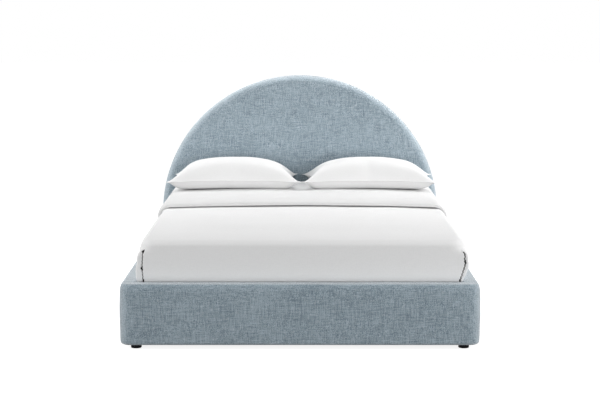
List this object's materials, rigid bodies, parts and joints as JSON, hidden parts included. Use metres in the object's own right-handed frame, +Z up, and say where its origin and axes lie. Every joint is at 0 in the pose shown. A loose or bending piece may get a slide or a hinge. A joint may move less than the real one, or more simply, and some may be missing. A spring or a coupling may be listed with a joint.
{
  "type": "upholstered platform bed",
  "caption": "Upholstered platform bed with a half-round padded headboard, deep soft rails, slats on a centre beam, small round feet, a mattress and white bedding with pillows.",
  "frame": {"origin": "on the floor, in the middle of the footprint", "axes": "+Z up, +Y from the foot end towards the headboard, +X to the right as seen from the foot end"},
  "size_m": [1.7, 2.228, 1.2],
  "materials": {
    "upholstery": "coarse woven, matte",
    "dust_cloth": "non-woven, matte",
    "foam": "open-cell foam, matte",
    "plywood": "matte",
    "timber": "matte",
    "slat_wood": "satin",
    "black_steel": "satin",
    "zinc_steel": "satin",
    "foot_plastic": "matte",
    "mattress_ticking": "woven, matte",
    "white_bedding": "plain weave, matte",
    "pillow_case": "plain weave, matte"
  },
  "bodies": {
    "bed_frame": {"bracket_bolts": "zinc_steel", "centre_beam": "timber", "centre_leg_front": "black_steel", "centre_leg_rear": "black_steel", "corner_bracket_foot_left": "black_steel", "corner_bracket_foot_right": "black_steel", "corner_bracket_head_left": "black_steel", "corner_bracket_head_right": "black_steel", "foot_beam_hanger": "black_steel", "foot_front_left": "foot_plastic", "foot_front_right": "foot_plastic", "foot_rail_cover": "upholstery", "foot_rail_face_panel": "plywood", "foot_rail_foam": "foam", "foot_rail_frame": "timber", "foot_rail_inner_panel": "plywood", "foot_rear_left": "foot_plastic", "foot_rear_right": "foot_plastic", "frame_screws": "zinc_steel", "head_beam_hanger": "black_steel", "headboard_cover": "upholstery", "headboard_dust_cover": "dust_cloth", "headboard_foam": "foam", "headboard_frame": "timber", "headboard_lower_board": "timber", "headboard_panel": "plywood", "left_rail_cover": "upholstery", "left_rail_face_panel": "plywood", "left_rail_foam": "foam", "left_rail_frame": "timber", "left_rail_inner_panel": "plywood", "left_slat_ledger": "timber", "right_rail_cover": "upholstery", "right_rail_face_panel": "plywood", "right_rail_foam": "foam", "right_rail_frame": "timber", "right_rail_inner_panel": "plywood", "right_slat_ledger": "timber", "slat_01": "slat_wood", "slat_02": "slat_wood", "slat_03": "slat_wood", "slat_04": "slat_wood", "slat_05": "slat_wood", "slat_06": "slat_wood", "slat_07": "slat_wood", "slat_08": "slat_wood", "slat_09": "slat_wood", "slat_10": "slat_wood", "slat_11": "slat_wood", "slat_12": "slat_wood", "slat_screws": "zinc_steel", "threaded_inserts": "zinc_steel"},
    "mattress_set": {"mattress": "mattress_ticking", "bed_cover": "white_bedding", "cover_turndown": "white_bedding"},
    "pillow_left": {"pillow_left": "pillow_case"},
    "pillow_right": {"pillow_right": "pillow_case"},
    "glide_front": {"levelling_glide_front": "zinc_steel"},
    "glide_rear": {"levelling_glide_rear": "zinc_steel"}
  },
  "joints": [
    {"name": "mattress_lift", "type": "slide", "parent": "bed_frame", "child": "mattress_set", "axis": [0, 0, 1], "range_m": [0, 0.2]},
    {"name": "pillow_left_lift", "type": "slide", "parent": "mattress_set", "child": "pillow_left", "axis": [0, 0, 1], "range_m": [0, 0.25]},
    {"name": "pillow_right_lift", "type": "slide", "parent": "mattress_set", "child": "pillow_right", "axis": [0, 0, 1], "range_m": [0, 0.25]},
    {"name": "glide_front_adjust", "type": "slide", "parent": "bed_frame", "child": "glide_front", "axis": [0, 0, 1], "range_m": [0, 0.012]},
    {"name": "glide_rear_adjust", "type": "slide", "parent": "bed_frame", "child": "glide_rear", "axis": [0, 0, 1], "range_m": [0, 0.012]}
  ]
}
